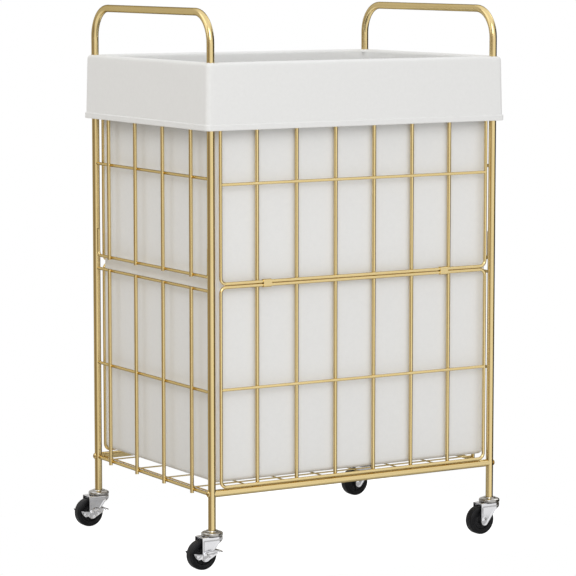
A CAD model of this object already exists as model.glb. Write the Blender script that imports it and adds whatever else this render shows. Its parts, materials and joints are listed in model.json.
"""Looks of the rolling laundry hamper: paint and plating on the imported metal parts, a sewn
fabric liner in place of the plain bag and cuff slabs, and soft studio light.

Metres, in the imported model's own frame: +Z up, floor at Z = 0, front towards -Y.
"""
import json
import math

import bmesh
import bpy
import numpy as np
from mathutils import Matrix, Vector, noise
from mathutils.geometry import delaunay_2d_cdt


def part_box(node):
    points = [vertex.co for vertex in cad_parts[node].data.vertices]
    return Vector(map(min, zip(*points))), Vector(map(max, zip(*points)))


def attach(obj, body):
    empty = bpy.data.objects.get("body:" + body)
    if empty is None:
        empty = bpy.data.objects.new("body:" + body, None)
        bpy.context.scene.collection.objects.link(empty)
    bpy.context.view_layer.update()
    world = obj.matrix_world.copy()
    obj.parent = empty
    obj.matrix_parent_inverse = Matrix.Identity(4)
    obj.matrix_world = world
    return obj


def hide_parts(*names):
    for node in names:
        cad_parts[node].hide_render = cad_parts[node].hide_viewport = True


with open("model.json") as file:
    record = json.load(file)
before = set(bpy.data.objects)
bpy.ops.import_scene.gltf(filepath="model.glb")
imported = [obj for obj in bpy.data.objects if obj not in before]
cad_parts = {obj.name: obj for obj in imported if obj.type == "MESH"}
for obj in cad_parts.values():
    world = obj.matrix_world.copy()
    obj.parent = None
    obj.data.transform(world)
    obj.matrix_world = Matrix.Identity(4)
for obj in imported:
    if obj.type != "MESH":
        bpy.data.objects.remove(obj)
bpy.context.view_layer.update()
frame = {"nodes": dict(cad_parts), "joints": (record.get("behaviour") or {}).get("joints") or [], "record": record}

MM = 0.001

# ---- places taken from the frame -------------------------------------------------------

JOINTS = {j["name"]: j for j in frame["joints"]}
LEG_X = JOINTS["front_right_swivel"]["pos_m"][0]
LEG_Y = JOINTS["back_right_swivel"]["pos_m"][1]
SWIVEL = "_swivel"
CORNERS = {name[: -len(SWIVEL)]: tuple(math.copysign(1, j["pos_m"][axis]) for axis in (0, 1))
           for name, j in JOINTS.items() if name.endswith(SWIVEL)}
TUBE_R = (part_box("left_side_frame")[1].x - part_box("left_side_frame")[0].x) / 2

BAG_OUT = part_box("bag_right")[1].x
BAG_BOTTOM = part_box("bag_floor")[0].z
CUFF_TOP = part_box("cuff_front")[1].z
HEM_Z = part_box("cuff_front")[0].z
HEM_OUT = -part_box("cuff_front")[0].y - LEG_Y


# ---- small tools -----------------------------------------------------------------------

def mesh_object(name, points, faces, smooth=True):
    """A mesh object from a list of points and a list of faces."""
    mesh = bpy.data.meshes.new(name)
    mesh.from_pydata([tuple(p) for p in points], [], faces)
    mesh.validate()
    mesh.update()
    mesh.polygons.foreach_set("use_smooth", [smooth] * len(mesh.polygons))
    piece = bpy.data.objects.new(name, mesh)
    bpy.context.scene.collection.objects.link(piece)
    return piece


def apply_modifiers(piece):
    """Turns a piece's modifiers into plain mesh."""
    graph = bpy.context.evaluated_depsgraph_get()
    made = bpy.data.meshes.new_from_object(piece.evaluated_get(graph))
    piece.modifiers.clear()
    piece.data = made


def finish_piece(piece, body, material):
    """Gives a piece its material, its slot in the record and the body it moves with."""
    piece.data.materials.clear()
    piece.data.materials.append(material)
    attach(piece, body)
    return piece


class Nodes:
    """Short calls for building a node tree."""

    def __init__(self, tree):
        self.tree = tree

    def add(self, kind, **settings):
        node = self.tree.nodes.new(kind)
        for name, value in settings.items():
            setattr(node, name, value)
        return node

    def link(self, source, target):
        self.tree.links.new(source, target)

    def put(self, socket, value):
        """Links a socket to another, or sets it to a plain value."""
        if isinstance(value, bpy.types.NodeSocket):
            self.link(value, socket)
        else:
            socket.default_value = value

    def math(self, operation, a, b=0.0):
        node = self.add("ShaderNodeMath", operation=operation)
        self.put(node.inputs[0], a)
        self.put(node.inputs[1], b)
        return node.outputs[0]

    def smooth_step(self, value, low, high):
        """0 below low, 1 above high, and a smooth rise between them."""
        node = self.add("ShaderNodeMapRange", interpolation_type="SMOOTHSTEP")
        self.put(node.inputs["Value"], value)
        node.inputs["From Min"].default_value = low
        node.inputs["From Max"].default_value = high
        return node.outputs["Result"]

    def spread(self, value, low, high, from_low=0.3, from_high=0.7):
        """Maps a value, such as a noise, from one range to another."""
        node = self.add("ShaderNodeMapRange")
        self.link(value, node.inputs["Value"])
        node.inputs["From Min"].default_value = from_low
        node.inputs["From Max"].default_value = from_high
        node.inputs["To Min"].default_value = low
        node.inputs["To Max"].default_value = high
        return node.outputs["Result"]

    def mix(self, factor, first, second):
        node = self.add("ShaderNodeMix", data_type="RGBA")
        self.put(node.inputs["Factor"], factor)
        self.put(node.inputs["A"], first if isinstance(first, bpy.types.NodeSocket) else (*first, 1))
        self.put(node.inputs["B"], second if isinstance(second, bpy.types.NodeSocket) else (*second, 1))
        return node.outputs["Result"]


class Surface(Nodes):
    """The node tree of a new material, with its shader."""

    def __init__(self, name):
        self.material = bpy.data.materials.new(name)
        self.material.use_nodes = True
        super().__init__(self.material.node_tree)
        self.tree.nodes.clear()
        self.shader = self.add("ShaderNodeBsdfPrincipled")
        out = self.add("ShaderNodeOutputMaterial")
        self.link(self.shader.outputs["BSDF"], out.inputs["Surface"])
        self.place = self.add("ShaderNodeTexCoord").outputs["Object"]

    def noise(self, scale, detail=2.0, roughness=0.5, stretch=(1, 1, 1)):
        """Noise that is fixed to the piece, scaled along each axis by stretch."""
        mapping = self.add("ShaderNodeMapping")
        mapping.inputs["Scale"].default_value = stretch
        self.link(self.place, mapping.inputs["Vector"])
        node = self.add("ShaderNodeTexNoise")
        self.link(mapping.outputs["Vector"], node.inputs["Vector"])
        node.inputs["Scale"].default_value = scale
        node.inputs["Detail"].default_value = detail
        node.inputs["Roughness"].default_value = roughness
        return node.outputs["Fac"]

    def bump(self, height, strength, distance, normal=None):
        node = self.add("ShaderNodeBump")
        self.link(height, node.inputs["Height"])
        node.inputs["Strength"].default_value = strength
        node.inputs["Distance"].default_value = distance
        if normal is not None:
            self.link(normal, node.inputs["Normal"])
        return node.outputs["Normal"]

    def finish(self, **inputs):
        """Sets the shader's inputs by name, with _ for a space."""
        for name, value in inputs.items():
            socket = self.shader.inputs[name.replace("_", " ")]
            if isinstance(value, tuple) and len(value) == 3:
                value = (*value, 1)
            self.put(socket, value)
        return self.material


# ---- materials -------------------------------------------------------------------------

def gold_paint(name, light, dark, roughness):
    """Satin gold paint over steel: fine flake, a faint orange peel and slow colour drift."""
    n = Surface(name)
    drift = n.spread(n.noise(9, detail=3), 0.0, 1.0)
    flake = n.noise(2600, detail=1)
    peel = n.noise(420, detail=2)
    colour = n.mix(drift, dark, light)
    rough = n.math("ADD", n.spread(flake, -0.03, 0.03),
                   n.spread(drift, roughness - 0.02, roughness + 0.02, 0, 1))
    normal = n.bump(peel, 0.03, 0.15 * MM)
    return n.finish(Base_Color=colour, Metallic=1.0, Roughness=rough, Normal=normal,
                    Coat_Weight=0.25, Coat_Roughness=0.22, Specular_Tint=(0.15, 0.11, 0.05))


def plated_steel(name, colour, roughness):
    """Bright zinc plate with drawing marks and slightly duller patches."""
    n = Surface(name)
    patches = n.noise(60, detail=3)
    marks = n.noise(500, detail=2, stretch=(1, 1, 0.08))
    shade = n.mix(n.spread(patches, 0.0, 1.0), tuple(c * 0.9 for c in colour), colour)
    rough = n.spread(patches, roughness - 0.05, roughness + 0.08)
    normal = n.bump(marks, 0.12, 0.1 * MM)
    return n.finish(Base_Color=shade, Metallic=1.0, Roughness=rough, Normal=normal)


def black_plastic(name, colour, roughness, grain):
    """Moulded black plastic or rubber with a fine grain and faint scuffs."""
    n = Surface(name)
    scuffs = n.noise(90, detail=5, roughness=0.7)
    scuffed = tuple(c * 2.2 + 0.004 for c in colour)
    shade = n.mix(n.spread(scuffs, 0.0, 1.0, 0.45, 0.75), colour, scuffed)
    rough = n.spread(scuffs, roughness - 0.06, roughness + 0.12)
    normal = n.bump(n.noise(grain, detail=2), 0.15, 0.12 * MM)
    return n.finish(Base_Color=shade, Roughness=rough, Normal=normal, Specular_IOR_Level=0.22)


def woven_cloth(name, colour, thread=0.55 * MM):
    """White plain-weave cloth: threads that pass over and under, faint slubs and soft creases."""
    n = Surface(name)
    axes = n.add("ShaderNodeSeparateXYZ")
    n.link(n.place, axes.inputs[0])
    facing = n.add("ShaderNodeSeparateXYZ")
    n.link(n.add("ShaderNodeNewGeometry").outputs["True Normal"], facing.inputs[0])
    turns = 2 * math.pi / thread
    waves = [n.math("SINE", n.math("MULTIPLY", axes.outputs[i], turns)) for i in range(3)]
    shares = [n.math("POWER", n.math("ABSOLUTE", facing.outputs[i]), 2.0) for i in range(3)]
    height = None
    for i in range(3):
        product = n.math("MULTIPLY", waves[(i + 1) % 3], waves[(i + 2) % 3])
        part = n.math("MULTIPLY", product, shares[i])
        height = part if height is None else n.math("ADD", height, part)
    slubs = n.noise(160, detail=4, roughness=0.65)
    creases = n.noise(7, detail=3, roughness=0.55)
    tone = n.mix(n.spread(slubs, 0.0, 1.0), tuple(c * 0.975 for c in colour), colour)
    normal = n.bump(creases, 0.25, 3 * MM)
    normal = n.bump(slubs, 0.10, 0.4 * MM, normal)
    normal = n.bump(height, 0.22, 0.12 * MM, normal)
    return n.finish(Base_Color=tone, Roughness=0.88, Normal=normal, Sheen_Weight=0.12,
                    Sheen_Roughness=0.5, Specular_IOR_Level=0.25)


GOLD = gold_paint("gold_paint", (0.87, 0.690, 0.345), (0.82, 0.640, 0.305), 0.20)
GOLD_BOLT = gold_paint("gold_bolt", (0.80, 0.62, 0.30), (0.72, 0.55, 0.25), 0.26)
STEEL = plated_steel("inner_steel", (0.55, 0.55, 0.56), 0.38)
ZINC = plated_steel("bright_zinc", (0.88, 0.88, 0.90), 0.11)
RACE = plated_steel("race_zinc", (0.50, 0.485, 0.46), 0.13)
HUB = black_plastic("hub_plastic", (0.010, 0.010, 0.011), 0.36, 900)
RUBBER = black_plastic("tyre_rubber", (0.008, 0.008, 0.009), 0.40, 500)
CLOTH = woven_cloth("liner_cloth", (0.83, 0.83, 0.82))
THREAD = woven_cloth("liner_thread", (0.87, 0.87, 0.86), 0.3 * MM)

SLOT_MATERIALS = {
    "gold_paint": GOLD,
    "bolt_metal": GOLD_BOLT,
    "inner_steel": STEEL,
    "caster_zinc": ZINC,
    "wheel_hub": HUB,
    "wheel_tyre": RUBBER,
    "bag_fabric": CLOTH,
}


def dress_cad_nodes():
    """Puts the slot's material on every CAD node."""
    slot_of = {s["node"]: s["material_slot"] for s in frame["record"]["subparts"]}
    for name, node in frame["nodes"].items():
        if not node.material_slots:
            node.data.materials.append(None)
        for slot in node.material_slots:
            slot.link = "OBJECT"
            slot.material = SLOT_MATERIALS[slot_of[name]]


# ---- the liner -------------------------------------------------------------------------

CLOTH_T = 1.2 * MM
WALL_IN = LEG_X - BAG_OUT + CLOTH_T / 2
CORNER_R = 8 * MM
WALL_CORNER_R = 4 * MM
SIDE_STEP = 8 * MM
CORNER_STEPS = 8

# The fold over the rails, the cuff's face and the hem.
FOLD_R = 5 * MM
FOLD_TOP = CUFF_TOP - CLOTH_T / 2
CUFF_FACE_TOP = 12.1 * MM - CLOTH_T / 2
CUFF_FACE_HEM = HEM_OUT - 1.6 * MM
CUFF_LEAN = (CUFF_FACE_HEM - CUFF_FACE_TOP) / (FOLD_TOP - HEM_Z)
HEM_BAND = 10 * MM
HEM_HALF = 1.9 * MM
HEM_SOFT = 1.3 * MM
HEM_MIDDLE = CUFF_FACE_HEM - CUFF_LEAN * HEM_BAND / 2 + 0.2 * MM
FLOOR_R = 7 * MM
FLOOR_MIDDLE = 40 * MM - LEG_Y
OPENING_R = TUBE_R + 1.0 * MM

# How far the cloth strays from that section, and where. A share is of the liner's height.
SLACK = 2.2 * MM
FLOOR_SAG = 1.2 * MM
FLOOR_SHARE = 0.02
HELD_SHARE = 1 / 6
WALL_SWAY = 1.3 * MM
CUFF_SWAY = 0.9 * MM
CUFF_RIPPLE = 1.4
FOLD_SWAY = 0.5 * MM
FOLD_DEPTH = 12 * MM
SWAYS_ACROSS = 5.5
SWAYS_UP = 2.6
SEAM_HOLD = 60 * MM
LEG_DIP = 0.8 * MM
LEG_PUCKER = 0.35 * MM
LEG_PUCKERS = 7
LEG_REACH = 9 * MM


def ring(out, corner=CORNER_R):
    """Points of a rounded rectangle that lies out beyond the leg centres, as
    (x, y, normal x, normal y), always with the same count and the same order."""
    half_x, half_y = LEG_X + out, LEG_Y + out
    steps_x = round(2 * LEG_X / SIDE_STEP)
    steps_y = round(2 * LEG_Y / SIDE_STEP)
    points = []
    for turn, (along, across, steps) in enumerate(
            [(half_x, half_y, steps_x), (half_y, half_x, steps_y)] * 2):
        angle = turn * math.pi / 2
        cos, sin = math.cos(angle), math.sin(angle)
        flat = along - corner
        local = [(-flat + 2 * flat * i / steps, -across, 0.0, -1.0) for i in range(steps)]
        for i in range(CORNER_STEPS):
            a = -math.pi / 2 + math.pi / 2 * i / CORNER_STEPS
            ca, sa = math.cos(a), math.sin(a)
            local.append((flat + corner * ca, -across + corner + corner * sa, ca, sa))
        points += [(x * cos - y * sin, x * sin + y * cos, u * cos - v * sin, u * sin + v * cos)
                   for x, y, u, v in local]
    return points


def arc(centre, radius, start, end, steps):
    """Points of an arc in (out, height), angles in degrees, without its first point."""
    return [(centre[0] + radius * math.cos(math.radians(start + (end - start) * i / steps)),
             centre[1] + radius * math.sin(math.radians(start + (end - start) * i / steps)))
            for i in range(1, steps + 1)]


def circle(centre, radius, steps):
    """Points round a full circle."""
    return [(centre[0] + radius * math.cos(2 * math.pi * i / steps),
             centre[1] + radius * math.sin(2 * math.pi * i / steps)) for i in range(steps)]


def line(start, end, steps):
    """Points of a straight stretch in (out, height), without its first point."""
    return [(start[0] + (end[0] - start[0]) * i / steps, start[1] + (end[1] - start[1]) * i / steps)
            for i in range(1, steps + 1)]


def liner_profile():
    """Section of the liner from the floor's middle, up the wall, over the fold and down
    to the hem, as (out from the leg centres, height)."""
    low = BAG_BOTTOM + CLOTH_T / 2
    wall = -WALL_IN
    section = [(FLOOR_MIDDLE, low)]
    section += line(section[-1], (wall - FLOOR_R, low), 12)
    section += arc((wall - FLOOR_R, low + FLOOR_R), FLOOR_R, -90, 0, 6)
    section += line(section[-1], (wall, FOLD_TOP - FOLD_R), 72)
    section += arc((wall + FOLD_R, FOLD_TOP - FOLD_R), FOLD_R, 180, 90, 7)
    section += line(section[-1], (CUFF_FACE_TOP - FOLD_R, FOLD_TOP), 8)
    section += arc((CUFF_FACE_TOP - FOLD_R, FOLD_TOP - FOLD_R), FOLD_R, 90, 2, 7)
    section += line(section[-1], (CUFF_FACE_HEM, HEM_Z + 1.5 * MM), 16)
    return section


def sway(x, y, z, seed):
    """A slow, smooth waviness between -1 and 1, different on each side."""
    return noise.noise(Vector((x * SWAYS_ACROSS + seed, y * SWAYS_ACROSS - seed,
                               z * SWAYS_UP + 3 * seed)))


def corner_calm(x, y):
    """0 at the corners, where seams hold the cloth straight, and 1 along the sides."""
    near_x = min(1.0, max(0.0, 1 - (LEG_X - abs(x)) / SEAM_HOLD))
    near_y = min(1.0, max(0.0, 1 - (LEG_Y - abs(y)) / SEAM_HOLD))
    return 1 - near_x * near_y


def in_bag(out):
    """True for the bag's floor and walls, and False for the fold and the cuff."""
    return out < -WALL_IN + 0.1 * MM


def drape(x, y, z, nx, ny, out):
    """How the cloth departs from the straight section at a point, as a shift (dx, dy, dz)."""
    calm = corner_calm(x, y)
    if in_bag(out):
        rise = (z - BAG_BOTTOM) / (CUFF_TOP - BAG_BOTTOM)
        loose = min(1.0, (1 - rise) / HELD_SHARE)
        # The left and back walls hang further in than the front and right ones.
        lean_x = SLACK * loose * max(0.0, -nx)
        lean_y = -SLACK * loose * max(0.0, ny)
        if rise < FLOOR_SHARE:
            # The floor sags a little between its edges.
            inner = min(LEG_X - abs(x), LEG_Y - abs(y)) / LEG_Y
            return lean_x, lean_y, -FLOOR_SAG * min(1.0, max(0.0, inner) * 2)
        swing = WALL_SWAY * sway(x, y, z, 2.0) * calm * loose * min(1.0, rise / HELD_SHARE)
        return lean_x + swing * nx, lean_y + swing * ny, 0.0
    dz = 0.0
    if z > CUFF_TOP - FOLD_DEPTH:
        # The fold puckers and dips round each leg.
        for sx, sy in CORNERS.values():
            away = math.hypot(x - sx * LEG_X, y - sy * LEG_Y)
            angle = math.atan2(y - sy * LEG_Y, x - sx * LEG_X)
            fade = math.exp(-(((away - TUBE_R) / LEG_REACH) ** 2))
            dz += fade * (LEG_PUCKER * math.cos(LEG_PUCKERS * angle + sx) - LEG_DIP)
    down = (CUFF_TOP - z) / (CUFF_TOP - HEM_Z)
    if z > CUFF_TOP - FOLD_R:
        dz += FOLD_SWAY * sway(x, y, 0.3, 7.0) * calm
    swing = CUFF_SWAY * sway(x * CUFF_RIPPLE, y * CUFF_RIPPLE, z, 5.0) * calm * min(1.0, down * 2)
    return swing * nx, swing * ny, dz


def loft(section, closed=False):
    """Rings joined along a section into a quad mesh, draped."""
    rings = [ring(out, WALL_CORNER_R if in_bag(out) else CORNER_R) for out, _ in section]
    count = len(rings[0])
    points = []
    for (out, z), places in zip(section, rings):
        for x, y, nx, ny in places:
            dx, dy, dz = drape(x, y, z, nx, ny, out)
            points.append((x + dx, y + dy, z + dz))
    faces = []
    rows = len(section)
    for i in range(rows if closed else rows - 1):
        low, high = i * count, ((i + 1) % rows) * count
        for k in range(count):
            m = (k + 1) % count
            faces.append((low + k, low + m, high + m, high + k))
    return points, faces


def cut_leg_openings(piece, radius):
    """Cuts the round openings that the side frames rise through."""
    steps = 40
    points, faces = [], []
    for sx, sy in CORNERS.values():
        base = len(points)
        for z in (FOLD_TOP - 9 * MM, FOLD_TOP + 6 * MM):
            points += [(x, y, z) for x, y in circle((sx * LEG_X, sy * LEG_Y), radius, steps)]
        faces += [(base + i, base + (i + 1) % steps, base + steps + (i + 1) % steps, base + steps + i)
                  for i in range(steps)]
        faces.append(tuple(base + i for i in reversed(range(steps))))
        faces.append(tuple(base + steps + i for i in range(steps)))
    cutter = mesh_object("leg_cutter", points, faces, smooth=False)
    boolean = piece.modifiers.new("openings", "BOOLEAN")
    boolean.operation = "DIFFERENCE"
    boolean.solver = "EXACT"
    boolean.object = cutter
    apply_modifiers(piece)
    bpy.data.objects.remove(cutter)


def make_liner():
    """One sewn sheet: floor, walls, the fold over the rails and the cuff."""
    points, faces = loft(liner_profile())
    faces.append(tuple(reversed(range(len(ring(FLOOR_MIDDLE))))))
    liner = mesh_object("liner", points, faces)
    solid = liner.modifiers.new("cloth", "SOLIDIFY")
    solid.thickness = CLOTH_T
    solid.offset = 0
    apply_modifiers(liner)
    cut_leg_openings(liner, OPENING_R)
    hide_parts("bag_front", "bag_back", "bag_left", "bag_right", "bag_floor",
                "cuff_front", "cuff_back", "cuff_left", "cuff_right")
    return finish_piece(liner, "frame", CLOTH)


def make_hem():
    """The cuff's lower edge, turned up into a band of several layers."""
    top, low = HEM_Z + HEM_BAND, HEM_Z
    half, soft, middle = HEM_HALF, HEM_SOFT, HEM_MIDDLE
    section = [(middle + half, low + soft)]
    section += line(section[-1], (middle + half, top - soft), 4)
    section += arc((middle + half - soft, top - soft), soft, 0, 90, 4)
    section += line(section[-1], (middle - half + soft, top), 1)
    section += arc((middle - half + soft, top - soft), soft, 90, 180, 4)
    section += line(section[-1], (middle - half, low + soft), 4)
    section += arc((middle - half + soft, low + soft), soft, 180, 270, 4)
    section += line(section[-1], (middle + half - soft, low), 1)
    section += arc((middle + half - soft, low + soft), soft, 270, 360, 4)[:-1]
    points, faces = loft(section, closed=True)
    return finish_piece(mesh_object("cuff_hem", points, faces), "frame", CLOTH)


STITCH_PITCH = 3.3 * MM
# One stitch as (place along it, radius, height above the cloth), in mm.
STITCH_SHAPE = [(-1.15, 0.05, -0.22), (-0.8, 0.2, -0.02), (0.0, 0.26, 0.1), (0.8, 0.2, -0.02),
                (1.15, 0.05, -0.22)]
STITCH_SIDES = 6
HEM_ROW_Z = HEM_Z + HEM_BAND - 2.2 * MM
SEAM_ROW_Z = BAG_BOTTOM + 12 * MM
SEAM_FOOT = BAG_BOTTOM + 15 * MM
SEAM_HEAD = HEM_Z + 20 * MM
SEAM_STEPS = 80
SEAM_INSET = 2.5 * MM


def add_stitch(points, faces, at, along, out):
    """One stitch of thread: a short strand that dips into the cloth at both ends."""
    across = out.cross(along).normalized()
    base = len(points)
    for reach, radius, lift in STITCH_SHAPE:
        middle = at + along * reach * MM + out * lift * MM
        for i in range(STITCH_SIDES):
            turn = 2 * math.pi * i / STITCH_SIDES
            points.append(middle + (across * math.cos(turn) + out * math.sin(turn)) * radius * MM)
    for j in range(len(STITCH_SHAPE) - 1):
        for i in range(STITCH_SIDES):
            k = (i + 1) % STITCH_SIDES
            low, high = base + j * STITCH_SIDES, base + (j + 1) * STITCH_SIDES
            faces.append((low + i, low + k, high + k, high + i))
    last = base + (len(STITCH_SHAPE) - 1) * STITCH_SIDES
    faces.append(tuple(base + i for i in reversed(range(STITCH_SIDES))))
    faces.append(tuple(last + i for i in range(STITCH_SIDES)))


def stitch_path(points, faces, path, outs):
    """Stitches at an even pitch along a line of places with the cloth's outward direction."""
    travelled, due = 0.0, STITCH_PITCH / 2
    for (a, b), (out_a, out_b) in zip(zip(path, path[1:]), zip(outs, outs[1:])):
        length = (b - a).length
        while due <= travelled + length:
            share = (due - travelled) / length
            out = out_a.lerp(out_b, share).normalized()
            add_stitch(points, faces, a.lerp(b, share), (b - a).normalized(), out)
            due += STITCH_PITCH
        travelled += length


def level_row(points, faces, surface, z, drape_out):
    """A row of stitches round the cloth at one height. surface is how far out it lies, and
    drape_out is the place on the liner's section that it drapes with."""
    path, outs = [], []
    for x, y, nx, ny in ring(surface, WALL_CORNER_R if in_bag(drape_out) else CORNER_R):
        dx, dy, dz = drape(x, y, z, nx, ny, drape_out)
        path.append(Vector((x + dx, y + dy, z + dz)))
        outs.append(Vector((nx, ny, 0)))
    stitch_path(points, faces, path + path[:1], outs + outs[:1])


def make_stitches():
    """Topstitching: the hem, the bottom seam and both sides of the four corner seams."""
    rows = {"hem_stitches": ([], []), "seam_stitches": ([], [])}
    level_row(*rows["hem_stitches"], HEM_MIDDLE + HEM_HALF, HEM_ROW_Z, CUFF_FACE_HEM)
    wall = -WALL_IN
    seam = rows["seam_stitches"]
    level_row(*seam, wall + CLOTH_T / 2, SEAM_ROW_Z, wall)
    for sx, sy in CORNERS.values():
        for side in range(2):
            nx, ny = (sx, 0.0) if side else (0.0, sy)
            reach = wall - WALL_CORNER_R - SEAM_INSET
            x = sx * (LEG_X + (wall if side else reach))
            y = sy * (LEG_Y + (reach if side else wall))
            path = []
            for i in range(SEAM_STEPS + 1):
                z = SEAM_FOOT + (SEAM_HEAD - SEAM_FOOT) * i / SEAM_STEPS
                dx, dy, _ = drape(x, y, z, nx, ny, wall)
                path.append(Vector((x + dx + nx * CLOTH_T / 2, y + dy + ny * CLOTH_T / 2, z)))
            stitch_path(*seam, path, [Vector((nx, ny, 0))] * len(path))
    made = []
    for name, (points, faces) in rows.items():
        made.append(finish_piece(mesh_object(name, points, faces), "frame", THREAD))
    return made


RIM_OUT = TUBE_R + 1.35 * MM
RIM_THICK = 0.8 * MM
RIM_LOBE = 0.13 * MM
RIM_LOBES = 44
RIM_STRETCH = 1.25


def make_rims():
    """Overstitched rims round the openings that the side frames rise through."""
    made = []
    steps, sides = 6 * RIM_LOBES, 8
    for corner, (sx, sy) in CORNERS.items():
        points, faces = [], []
        for i in range(steps):
            turn = 2 * math.pi * i / steps
            thick = RIM_THICK + RIM_LOBE * math.cos(RIM_LOBES * turn)
            x, y = sx * LEG_X + RIM_OUT * math.cos(turn), sy * LEG_Y + RIM_OUT * math.sin(turn)
            away = max(abs(x) - LEG_X, abs(y) - LEG_Y) - (CUFF_FACE_TOP - FOLD_R)
            fall = FOLD_R - math.sqrt(FOLD_R ** 2 - max(0.0, away) ** 2)
            z = FOLD_TOP + drape(x, y, FOLD_TOP, 0, 0, 0.0)[2] - fall
            for k in range(sides):
                around = 2 * math.pi * k / sides
                out = RIM_OUT + thick * math.cos(around)
                points.append((sx * LEG_X + out * math.cos(turn), sy * LEG_Y + out * math.sin(turn),
                               z + RIM_STRETCH * thick * math.sin(around)))
        for i in range(steps):
            for k in range(sides):
                low, high = i * sides, ((i + 1) % steps) * sides
                m = (k + 1) % sides
                faces.append((low + k, high + k, high + m, low + m))
        piece = mesh_object(f"{corner}_opening_rim", points, faces)
        made.append(finish_piece(piece, "frame", THREAD))
    return made


# ---- casters ---------------------------------------------------------------------------
# Each caster is drawn about its swivel axis, trailing towards -X, then moved to its corner.

FORK_LOW, FORK_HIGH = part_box("front_left_fork")
FORK_HALF = (FORK_HIGH.y - FORK_LOW.y) / 2
FORK_BACK = FORK_LOW.x + LEG_X
FORK_NOSE = FORK_HIGH.x + LEG_X - FORK_HALF
FORK_TOP = FORK_HIGH.z
AXLE_X = JOINTS["front_left_wheel_spin"]["pos_m"][0] + LEG_X
AXLE_Z = JOINTS["front_left_wheel_spin"]["pos_m"][2]
TYRE_R = AXLE_Z
TYRE_HALF = (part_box("front_left_tyre")[1].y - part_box("front_left_tyre")[0].y) / 2
HUB_HALF = (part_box("front_left_hub")[1].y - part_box("front_left_hub")[0].y) / 2
HUB_R = (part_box("front_left_hub")[1].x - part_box("front_left_hub")[0].x) / 2
LEG_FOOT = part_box("left_side_frame")[0].z
STEM_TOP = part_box("front_left_stem")[1].z
STEM_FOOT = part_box("front_left_stem")[0].z
CAP_R = (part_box("front_left_stem")[1].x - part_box("front_left_stem")[0].x) / 2
LEVER_HALF = (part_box("front_left_brake")[1].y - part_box("front_left_brake")[0].y) / 2
SHEET_T = 1.3 * MM
BEND_R = 2.2 * MM
STAMP_STEP = 1.1 * MM
ROW_STEP = 0.866
EMBOSS = 0.45 * MM
TOE_R = 7 * MM
TOE_Z = AXLE_Z - 2 * MM
NOSE_Z = 42.5 * MM
NOSE_RISE = 7.5 / 14.3
AXLE_BORE_R = 3.1 * MM
LEVER_STEP = 0.9 * MM
LEVER_PROUD = 0.1 * MM
LEVER_RIM = 0.75 * MM
LEVER_DEEP_RIM = 1.2 * MM
LEVER_RIB = 0.6 * MM
LEVER_FAN = 0.4 * MM
PEDAL_X = 5.4 * MM
PEDAL_Z = 32.2 * MM
PEDAL_TIP_HALF = 9.5 * MM
PEDAL_LENGTH = 11.6 * MM
PEDAL_SLOPE = math.radians(24)
PEDAL_ROUND = 2.6 * MM
PEDAL_CURL = 0.9 * MM
GRIP_PITCH = 2.6 * MM
GRIP_HEIGHT = 0.45 * MM
SPOKE_HALF = 6.3 * MM
SPOKE_ANGLE = math.pi / 4


def ease(value, low, high):
    """0 at low, 1 at high, with a smooth rise between."""
    share = min(1.0, max(0.0, (value - low) / (high - low)))
    return share * share * (3 - 2 * share)


def divide_loop(loop, step):
    """A closed loop with points added so that none lie further apart than step."""
    points = []
    for (ax, ay), (bx, by) in zip(loop, loop[1:] + loop[:1]):
        parts = max(1, round(math.hypot(bx - ax, by - ay) / step))
        points += [(ax + (bx - ax) * i / parts, ay + (by - ay) * i / parts) for i in range(parts)]
    return points


def inside(point, loop):
    """True if a point lies inside a closed loop."""
    x, y = point
    hits = 0
    for (ax, ay), (bx, by) in zip(loop, loop[1:] + loop[:1]):
        if (ay > y) != (by > y) and x < ax + (bx - ax) * (y - ay) / (by - ay):
            hits += 1
    return hits % 2 == 1


def edge_distance(point, loop):
    """How far a point lies from a closed loop."""
    p = np.array(point)
    a = np.array(loop)
    ab = np.roll(a, -1, axis=0) - a
    share = np.clip(((p - a) * ab).sum(1) / np.maximum((ab * ab).sum(1), 1e-18), 0, 1)
    return float(np.sqrt((((a + ab * share[:, None]) - p) ** 2).sum(1)).min())


def fill_outline(outline, holes, step):
    """Even triangles that fill an outline, apart from its holes, as (points, triangles)."""
    loops = [divide_loop(loop, step) for loop in [outline] + holes]
    points, edges = [], []
    for loop in loops:
        base = len(points)
        points += loop
        edges += [(base + i, base + (i + 1) % len(loop)) for i in range(len(loop))]
    low_x, high_x = min(x for x, _ in outline), max(x for x, _ in outline)
    low_y, high_y = min(y for _, y in outline), max(y for _, y in outline)
    rows = round((high_y - low_y) / (step * ROW_STEP))
    columns = round((high_x - low_x) / step)
    for row in range(1, rows):
        for column in range(columns + 1):
            place = (low_x + (column + 0.5 * (row % 2)) * step, low_y + row * step * ROW_STEP)
            if not inside(place, outline) or any(inside(place, hole) for hole in holes):
                continue
            if min(edge_distance(place, loop) for loop in loops) > 0.55 * step:
                points.append(place)
    made, _, triangles, *_ = delaunay_2d_cdt([Vector(p) for p in points], edges, [], 1, 1e-9)
    made = [tuple(p) for p in made]
    kept = []
    for corners in triangles:
        middle = tuple(sum(made[i][k] for i in corners) / len(corners) for k in range(2))
        if inside(middle, outline) and not any(inside(middle, hole) for hole in holes):
            kept.append(tuple(corners))
    return made, kept


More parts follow.
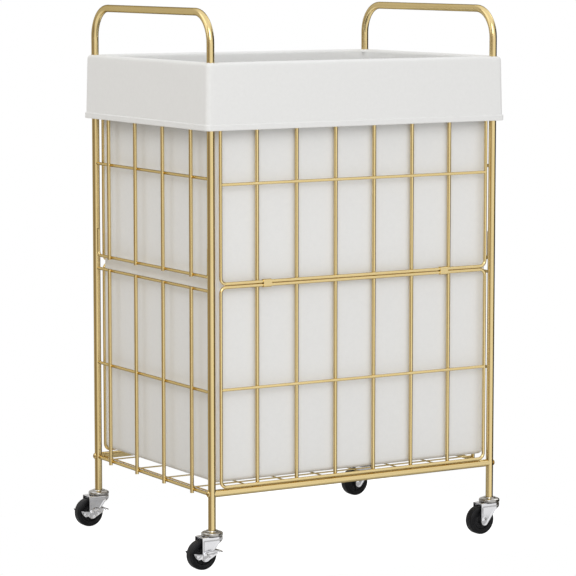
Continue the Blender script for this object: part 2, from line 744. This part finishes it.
def pressed_sheet(name, points, faces, outward, thickness, corner):
    """Sheet metal of even thickness behind a surface, with its cut edges rounded off."""
    piece = mesh_object(name, points, faces)
    shape = bmesh.new()
    shape.from_mesh(piece.data)
    bmesh.ops.remove_doubles(shape, verts=shape.verts, dist=0.05 * MM)
    bmesh.ops.dissolve_degenerate(shape, edges=shape.edges, dist=0.01 * MM)
    bmesh.ops.recalc_face_normals(shape, faces=shape.faces)
    shape.normal_update()
    agree = sum(face.normal.dot(outward(face.calc_center_median())) * face.calc_area()
                for face in shape.faces)
    if agree < 0:
        bmesh.ops.reverse_faces(shape, faces=shape.faces)
    shape.to_mesh(piece.data)
    shape.free()
    solid = piece.modifiers.new("sheet", "SOLIDIFY")
    solid.thickness = thickness
    solid.offset = -1
    bevel = piece.modifiers.new("edges", "BEVEL")
    bevel.width = corner
    bevel.segments = 2
    bevel.limit_method = "ANGLE"
    bevel.angle_limit = math.radians(55)
    apply_modifiers(piece)
    made = piece.data
    bpy.data.objects.remove(piece)
    return made


def fork_mesh():
    """The fork, folded from one blank: two arms joined by a round nose and a top, with a
    raised border round each arm and a slot in the top behind the race cap."""
    quarter = FORK_HALF * math.pi / 2
    half_length = quarter + FORK_NOSE - FORK_BACK
    bend_start = FORK_TOP - BEND_R
    bend_end = bend_start + BEND_R * math.pi / 2
    middle = bend_end + FORK_HALF - BEND_R
    arm = arc((FORK_BACK + TOE_R, TOE_Z), TOE_R, 180, 324, 14) + [(FORK_NOSE, NOSE_Z)]
    side = [(-quarter - (FORK_NOSE - x), z) for x, z in arm]
    nose = []
    for i in range(1, 12):
        s = -quarter + 2 * quarter * i / 12
        reach = FORK_HALF * math.cos(s / FORK_HALF)
        nose.append((s, NOSE_Z + reach * NOSE_RISE))
    edge = [(-half_length, TOE_Z)] + side + nose + [(-s, z) for s, z in reversed(side)]
    edge.append((half_length, TOE_Z))
    notch = [(half_length - 1.7 * MM, middle), (half_length - 1.7 * MM, middle - 4.2 * MM),
             (half_length - 2.4 * MM, middle - 5 * MM), (half_length - 4.2 * MM, middle - 5 * MM),
             (half_length - 4.9 * MM, middle - 4.2 * MM), (half_length - 4.9 * MM, middle)]
    outline = edge + [(half_length, middle)] + notch + [(-s, t) for s, t in reversed(notch)]
    outline.append((-half_length, middle))
    flat, faces = fill_outline(outline, [], STAMP_STEP)
    free_edge = edge + [(half_length, 3 * FORK_TOP), (-half_length, 3 * FORK_TOP)]
    points = []
    for s, t in flat:
        x_flat = FORK_NOSE - max(0.0, abs(s) - quarter)
        hub_gap = math.hypot(x_flat - AXLE_X, t - AXLE_Z)
        sunk = EMBOSS * ease(edge_distance((s, t), free_edge), 1.9 * MM, 3.0 * MM)
        sunk *= ease(hub_gap, 5.2 * MM, 6.4 * MM)
        sunk *= 1 - ease(t, bend_start - 4.5 * MM, bend_start - 3 * MM)
        if t < bend_start:
            inset, height = sunk, t
        elif t < bend_end:
            turn = (t - bend_start) / BEND_R
            inset, height = BEND_R * (1 - math.cos(turn)), bend_start + BEND_R * math.sin(turn)
        else:
            inset, height = BEND_R + t - bend_end, FORK_TOP
        reach = max(0.0, FORK_HALF - inset)
        if abs(s) <= quarter:
            turn = s / FORK_HALF
            points.append((FORK_NOSE + reach * math.cos(turn), reach * math.sin(turn), height))
        else:
            points.append((x_flat, math.copysign(reach, s), height))
    heart = Vector((FORK_NOSE - 10 * MM, 0, AXLE_Z))
    return pressed_sheet("fork_blank", points, faces, lambda at: at - heart, SHEET_T, 0.3 * MM)


def lever_outline():
    """Side view of the brake lever about the swivel axis: a leaf behind the axle, a lobe
    round it and an arm that reaches forward to the pedal."""
    a = AXLE_X / MM
    ahead = [(6, 32.4), (6, 29.4), (1, 26)]
    lobe = [(x / MM, z / MM) for x, z in arc((AXLE_X, AXLE_Z - 0.5 * MM), 9 * MM, -38, -125, 12)]
    leaf = [(a - 9, 20.6), (a - 12, 19.6), (a - 14.5, 19.8), (a - 17, 22), (a - 18.8, 24.8),
            (a - 20.8, 28.2), (a - 22, 30.8), (a - 19, 30.2), (a - 15, 29.2), (a - 9, 28.6),
            (a - 5, 27.6), (a - 1, 31), (a + 6, 33), (a + 16, 33.2)]
    return [(x * MM, z * MM) for x, z in ahead + lobe + leaf]


def lever_side(side):
    """One stamped side plate of the lever, with a rolled rim, ribs and a bored boss."""
    outline = lever_outline()
    hole = circle((AXLE_X, AXLE_Z), AXLE_BORE_R, 20)
    flat, faces = fill_outline(outline, [hole], LEVER_STEP)
    rim = divide_loop(outline, 1.5 * MM)
    points = []
    for x, z in flat:
        away = math.hypot(x - AXLE_X, z - AXLE_Z)
        deep = ease(x, AXLE_X, AXLE_X + 7 * MM) * ease(z, 27 * MM, 30 * MM)
        flange = LEVER_RIM + LEVER_DEEP_RIM * deep
        lift = flange * (1 - ease(edge_distance((x, z), rim), 0.5 * MM, 1.7 * MM))
        rib = math.exp(-(((z - AXLE_Z - 2.6 * MM - 0.12 * abs(x - AXLE_X)) / (1.1 * MM)) ** 2))
        fan = 0.5 + 0.5 * math.cos(14 * math.atan2(z - AXLE_Z - 14 * MM, x - AXLE_X + 2 * MM))
        lift = max(lift, LEVER_RIB * rib, LEVER_FAN * fan * ease(AXLE_Z - z, -3 * MM, 3 * MM))
        lift *= ease(away, 4.9 * MM, 6.2 * MM)
        points.append((x, side * (LEVER_HALF + LEVER_PROUD + lift), z))
    return pressed_sheet("lever_side", points, faces, lambda at: Vector((0, side, 0)),
                         SHEET_T - 0.2 * MM, 0.22 * MM)


def pedal_mesh():
    """The pedal across the lever's nose: a sloping tread with pressed grip ribs."""
    length = PEDAL_LENGTH
    cos, sin = math.cos(PEDAL_SLOPE), math.sin(PEDAL_SLOPE)
    rows, columns = 26, 44
    points = []
    for i in range(rows + 1):
        along = length * i / rows
        taper = ease(along, 1.5 * MM, length) * (LEVER_HALF - PEDAL_TIP_HALF)
        past = max(0.0, (along - length + PEDAL_ROUND) / PEDAL_ROUND)
        tip = PEDAL_ROUND * (1 - math.sqrt(max(0.0, 1 - past ** 2)))
        half = LEVER_HALF - taper - tip
        for k in range(columns + 1):
            y = half * (2 * k / columns - 1)
            grip = GRIP_HEIGHT * max(0.0, math.cos(2 * math.pi * (along - 5 * MM) / GRIP_PITCH))
            grip *= ease(along, 3 * MM, 3.8 * MM) * (1 - ease(along, 10 * MM, 10.8 * MM))
            grip *= 1 - ease(abs(y), half - 2.6 * MM, half - 1.6 * MM)
            curl = PEDAL_CURL * ease(abs(y), half - 1.6 * MM, half)
            curl -= PEDAL_CURL * ease(along, 10 * MM, length)
            rise = grip - curl + 0.3 * MM
            points.append((PEDAL_X + along * cos + rise * sin, y,
                           PEDAL_Z - along * sin + rise * cos))
    step = columns + 1
    faces = [(i * step + k, i * step + k + 1, (i + 1) * step + k + 1, (i + 1) * step + k)
             for i in range(rows) for k in range(columns)]
    return pressed_sheet("pedal", points, faces, lambda at: Vector((0.4, 0, 0.9)), SHEET_T, 0.25 * MM)


def join_meshes(meshes):
    """The points and faces of several meshes in one list."""
    points, faces = [], []
    for mesh in meshes:
        base = len(points)
        points += [tuple(v.co) for v in mesh.vertices]
        faces += [tuple(base + i for i in face.vertices) for face in mesh.polygons]
    return points, faces


def revolve(section, steps, along, centre, shape=None):
    """A closed section of (radius, along) turned about an axis: "y" or "z". A radius of 0
    closes the end. shape may change a point's place along the axis at each angle."""
    points, faces = [], []
    for radius, level in section:
        for i in range(steps):
            turn = 2 * math.pi * i / steps
            place = level if shape is None else shape(radius, level, turn)
            u, v = radius * math.cos(turn), radius * math.sin(turn)
            local = (u, place, v) if along == "y" else (u, v, place)
            points.append(tuple(a + b for a, b in zip(local, centre)))
    rows = len(section)
    for j in range(rows):
        low, high = j * steps, ((j + 1) % rows) * steps
        if section[j][0] < 1e-9 and section[(j + 1) % rows][0] < 1e-9:
            continue
        for i in range(steps):
            k = (i + 1) % steps
            quad = (low + i, low + k, high + k, high + i)
            faces.append(quad if along == "z" else tuple(reversed(quad)))
    return points, faces


def turned_part(name, points, faces, corner, body, slot, material, node, sharp=35):
    """Places a caster piece at its corner, in its body, in place of a CAD node."""
    sx, sy = CORNERS[corner]
    moved = [(x + sx * LEG_X, y + sy * LEG_Y, z) for x, y, z in points]
    piece = mesh_object(f"{corner}_{name}", moved, faces)
    shape = bmesh.new()
    shape.from_mesh(piece.data)
    bmesh.ops.remove_doubles(shape, verts=shape.verts, dist=0.005 * MM)
    bmesh.ops.recalc_face_normals(shape, faces=shape.faces)
    shape.to_mesh(piece.data)
    shape.free()
    piece.data.set_sharp_from_angle(angle=math.radians(sharp))
    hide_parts(node)
    return finish_piece(piece, body, material)


def tyre_section():
    """Section of the solid tyre: grooved walls, round shoulders and a crowned tread."""
    r, h = TYRE_R / MM, TYRE_HALF / MM
    half = [(HUB_R / MM, h - 0.9), (HUB_R / MM + 0.8, h - 0.35), (r - 4.6, h - 0.1),
            (r - 4.2, h - 0.45), (r - 3.8, h - 0.45), (r - 3.4, h)]
    half += [(r - 3.1 + 2.95 * math.sin(math.radians(a)), h - 3 + 3 * math.cos(math.radians(a)))
             for a in (8, 20, 32, 44, 56, 68, 80)]
    half += [(r - 0.12, h - 3.6), (r - 0.05, 2.4), (r - 0.05, 0.35), (r, 0.0)]
    return [(x * MM, y * MM) for x, y in half + [(x, -y) for x, y in reversed(half[:-1])]]


def hub_section():
    """Section of the hub: a long boss, a sunk web and the rim that carries the tyre."""
    b, o = HUB_HALF / MM, HUB_R / MM
    half = [(3.05, b), (5.9, b), (6.4, b - 0.3), (6.6, b - 0.9), (7.1, 7.5), (7.6, 6.4), (8.2, 5.2),
            (9.2, 4.6), (11, 4.5), (13, 4.5), (14.6, 4.6), (15.4, 5.2), (15.9, 6.4), (16.4, 7.1),
            (o - 0.3, 7.2), (o, 6.9)]
    return [(x * MM, y * MM) for x, y in half + [(x, -y) for x, y in reversed(half)]]


def spokes(radius, level, turn):
    """Raises eight ribs out of the hub's sunk web."""
    off = abs(((turn + SPOKE_ANGLE / 2) % SPOKE_ANGLE) - SPOKE_ANGLE / 2) * radius
    rise = ease(radius, 7.2 * MM, 8.4 * MM) * (1 - ease(radius, 14.8 * MM, 15.8 * MM))
    rise *= 1 - ease(off, 0.6 * MM, 1.2 * MM)
    return level + math.copysign(max(0.0, SPOKE_HALF - abs(level)) * rise, level)


def stem_section():
    """Section of the fixed stem: peened foot, race cap with a rolled lip, and shank."""
    foot, top, r, leg, fork = (size / MM for size in (STEM_FOOT, STEM_TOP, CAP_R, LEG_FOOT, FORK_TOP))
    section = [(0, foot), (4.6, foot), (5.6, foot + 0.4), (6, foot + 1.2), (6, foot + 2), (4, foot + 2),
               (4, fork + 0.3), (8, fork + 0.3), (8, fork + 4.5), (r - 1.4, fork + 4.5),
               (r - 1.4, fork + 1.4), (r - 1.1, fork + 1.0), (r - 0.6, fork + 0.9),
               (r - 0.1, fork + 1.1), (r, fork + 1.6), (r, fork + 4.2), (r - 0.2, fork + 4.9),
               (r - 0.8, fork + 5.6), (r - 2.2, fork + 6.4), (r - 4, fork + 7.0), (11.6, fork + 7.3),
               (10.8, fork + 7.6), (10.2, leg - 0.3), (9.4, leg - 0.1), (4, leg - 0.1), (4, top - 1),
               (3.6, top - 0.3), (3, top), (0, top)]
    return [(x * MM, z * MM) for x, z in section]


def rivet_section(half):
    """Section of the riveted axle, with a domed head at each end."""
    h = half / MM
    end = [(0, h), (1.6, h - 0.03), (3.0, h - 0.16), (3.9, h - 0.4), (4.35, h - 0.7),
           (4.4, h - 0.85), (3, h - 0.88)]
    return [(x * MM, y * MM) for x, y in end + [(x, -y) for x, y in reversed(end)]]


def make_casters():
    """Pressed forks, riveted axles, spoked hubs, tyres, race caps and brake levers."""
    fork = join_meshes([fork_mesh()])
    lever = join_meshes([lever_side(-1), lever_side(1), pedal_mesh()])
    wheel = (AXLE_X, 0, AXLE_Z)
    for corner in CORNERS:
        body = f"{corner}_caster"
        turned_part("fork_shell", *fork, corner, body, "caster_zinc", ZINC, f"{corner}_fork", 40)
        half = (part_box(f"{corner}_axle")[1].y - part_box(f"{corner}_axle")[0].y) / 2
        turned_part("rivet", *revolve(rivet_section(half), 40, "y", wheel), corner, body,
                    "caster_zinc", ZINC, f"{corner}_axle")
        body = f"{corner}_wheel"
        turned_part("wheel_centre", *revolve(hub_section(), 160, "y", wheel, spokes), corner, body,
                    "wheel_hub", HUB, f"{corner}_hub")
        turned_part("tread", *revolve(tyre_section(), 120, "y", wheel), corner, body,
                    "wheel_tyre", RUBBER, f"{corner}_tyre")
        turned_part("race_cap", *revolve(stem_section(), 72, "z", (0, 0, 0)), corner, "frame",
                    "caster_zinc", RACE, f"{corner}_stem")
        if f"{corner}_brake" in frame["nodes"]:
            turned_part("brake_pedal", *lever, corner, f"{corner}_brake_lever", "caster_zinc", ZINC,
                        f"{corner}_brake", 40)


# ---- camera and studio -----------------------------------------------------------------

CAMERA_PLACE = (-2.4867, -4.1405, 1.0101)
CAMERA_TURN = (-30.892, 6.8835, 0.0)
CAMERA_FOCUS = 2787
PICTURE_WIDTH = 576

FLOOR_HALF = (0.42, 0.345)
FLOOR_GLOW = 0.22
FLOOR_COLOUR = (0.32, 0.32, 0.32)

# What surrounds the object. A panel is the level direction that it faces from, and an edge
# is where its light starts and where it is full.
SIDE_LIGHT = (0.27, 0.227, 0.168)
FRONT_LIGHT = (0.93, 0.93, 0.93)
FRONT_PANEL = (0.12, -0.993)
FRONT_EDGE = (0.12, 1.0)
BACK_LIGHT = (0.72, 0.71, 0.69)
BACK_PANEL = (0.0, 1.0)
BACK_EDGE = (0.50, 1.0)
FLAG_LIGHT = (0.04, 0.033, 0.022)
FLAG_EDGE = (0.55, 0.88)
FLAG_HEIGHT = 0.05
FLAG_END = (0.35, 0.55)
TOP_LIGHT = (0.98, 0.985, 1.0)
TOP_EDGE = (0.45, 0.80)
LOW_LIGHT = (0.86, 0.86, 0.86)
LOW_EDGE = (0.35, 0.70)

# Name, place, size, power in watts and colour.
LIGHTS = [
    ("key", (-1.9, -3.2, 2.6), (2.0, 2.0), 39, (0.98, 0.99, 1.0)),
    ("left_fill", (-3.2, 0.7, 2.5), (3.2, 3.0), 28, (0.93, 0.965, 1.0)),
    ("right_fill", (3.2, 0.7, 2.6), (2.4, 2.4), 22, (0.96, 0.98, 1.0)),
]
LIGHTS_AIM = (0, 0, 0.5)


def camera():
    """The view from the front left, a little above the cuff, with a long lens."""
    data = bpy.data.cameras.new("camera")
    data.sensor_width = 36
    data.lens = data.sensor_width * CAMERA_FOCUS / PICTURE_WIDTH
    data.clip_end = 200
    made = bpy.data.objects.new("camera", data)
    bpy.context.scene.collection.objects.link(made)
    made.location = CAMERA_PLACE
    yaw, pitch, roll = (math.radians(a) for a in CAMERA_TURN)
    made.rotation_euler = (math.pi / 2 - pitch, roll, yaw)
    bpy.context.scene.camera = made


def surround():
    """White to the camera. What the object is lit by and reflects has large pale panels in front
    and behind, darker sides, a black flag on the right, a soft ceiling and a pale ground."""
    world = bpy.data.worlds.new("studio")
    bpy.context.scene.world = world
    world.use_nodes = True
    n = Nodes(world.node_tree)
    background = n.tree.nodes["Background"]
    axes = n.add("ShaderNodeSeparateXYZ")
    n.link(n.add("ShaderNodeTexCoord").outputs["Generated"], axes.inputs[0])
    x, y, z = axes.outputs
    squares = n.math("ADD", n.math("MULTIPLY", x, x), n.math("MULTIPLY", y, y))
    level = n.math("MAXIMUM", n.math("SQRT", squares), 0.01)
    colour = SIDE_LIGHT
    for panel, edge, light in ((FRONT_PANEL, FRONT_EDGE, FRONT_LIGHT),
                               (BACK_PANEL, BACK_EDGE, BACK_LIGHT)):
        ahead = n.math("ADD", n.math("MULTIPLY", x, panel[0]), n.math("MULTIPLY", y, panel[1]))
        share = n.smooth_step(n.math("DIVIDE", ahead, level), *edge)
        colour = n.mix(share, colour, light)
    rise = n.math("ABSOLUTE", n.math("SUBTRACT", z, FLAG_HEIGHT))
    flag = n.math("MULTIPLY", n.smooth_step(n.math("DIVIDE", x, level), *FLAG_EDGE),
                  n.math("SUBTRACT", 1.0, n.smooth_step(rise, *FLAG_END)))
    colour = n.mix(flag, colour, FLAG_LIGHT)
    colour = n.mix(n.smooth_step(z, *TOP_EDGE), colour, TOP_LIGHT)
    colour = n.mix(n.smooth_step(n.math("MULTIPLY", z, -1.0), *LOW_EDGE), colour, LOW_LIGHT)
    seen = n.add("ShaderNodeLightPath").outputs["Is Camera Ray"]
    n.link(n.mix(seen, colour, (1.0, 1.0, 1.0)), background.inputs["Color"])


def studio():
    """A pale floor, a pale surround and soft lights."""
    scene = bpy.context.scene
    scene.view_settings.view_transform = "Standard"
    x, y = FLOOR_HALF
    corners = [(-x, -y, 0), (x, -y, 0), (x, y, 0), (-x, y, 0)]
    floor = mesh_object("studio_floor", corners, [(0, 1, 2, 3)], smooth=False)
    n = Surface("studio_floor")
    seen = n.add("ShaderNodeLightPath").outputs["Is Camera Ray"]
    glow = n.spread(seen, FLOOR_GLOW, 1.0, 0, 1)
    floor.data.materials.append(n.finish(Base_Color=FLOOR_COLOUR, Roughness=0.9,
                                         Emission_Color=(1.0, 1.0, 1.0), Emission_Strength=glow,
                                         Specular_IOR_Level=0.0))
    surround()
    for name, place, size, power, colour in LIGHTS:
        data = bpy.data.lights.new(name, "AREA")
        data.shape = "RECTANGLE"
        data.size, data.size_y = size
        data.energy = power
        data.color = colour
        lamp = bpy.data.objects.new(name, data)
        scene.collection.objects.link(lamp)
        lamp.location = place
        aim = Vector(LIGHTS_AIM) - Vector(place)
        lamp.rotation_euler = aim.to_track_quat("-Z", "Y").to_euler()


camera()
dress_cad_nodes()
liner = make_liner()
trim = [make_hem()] + make_stitches() + make_rims()
make_casters()
studio()
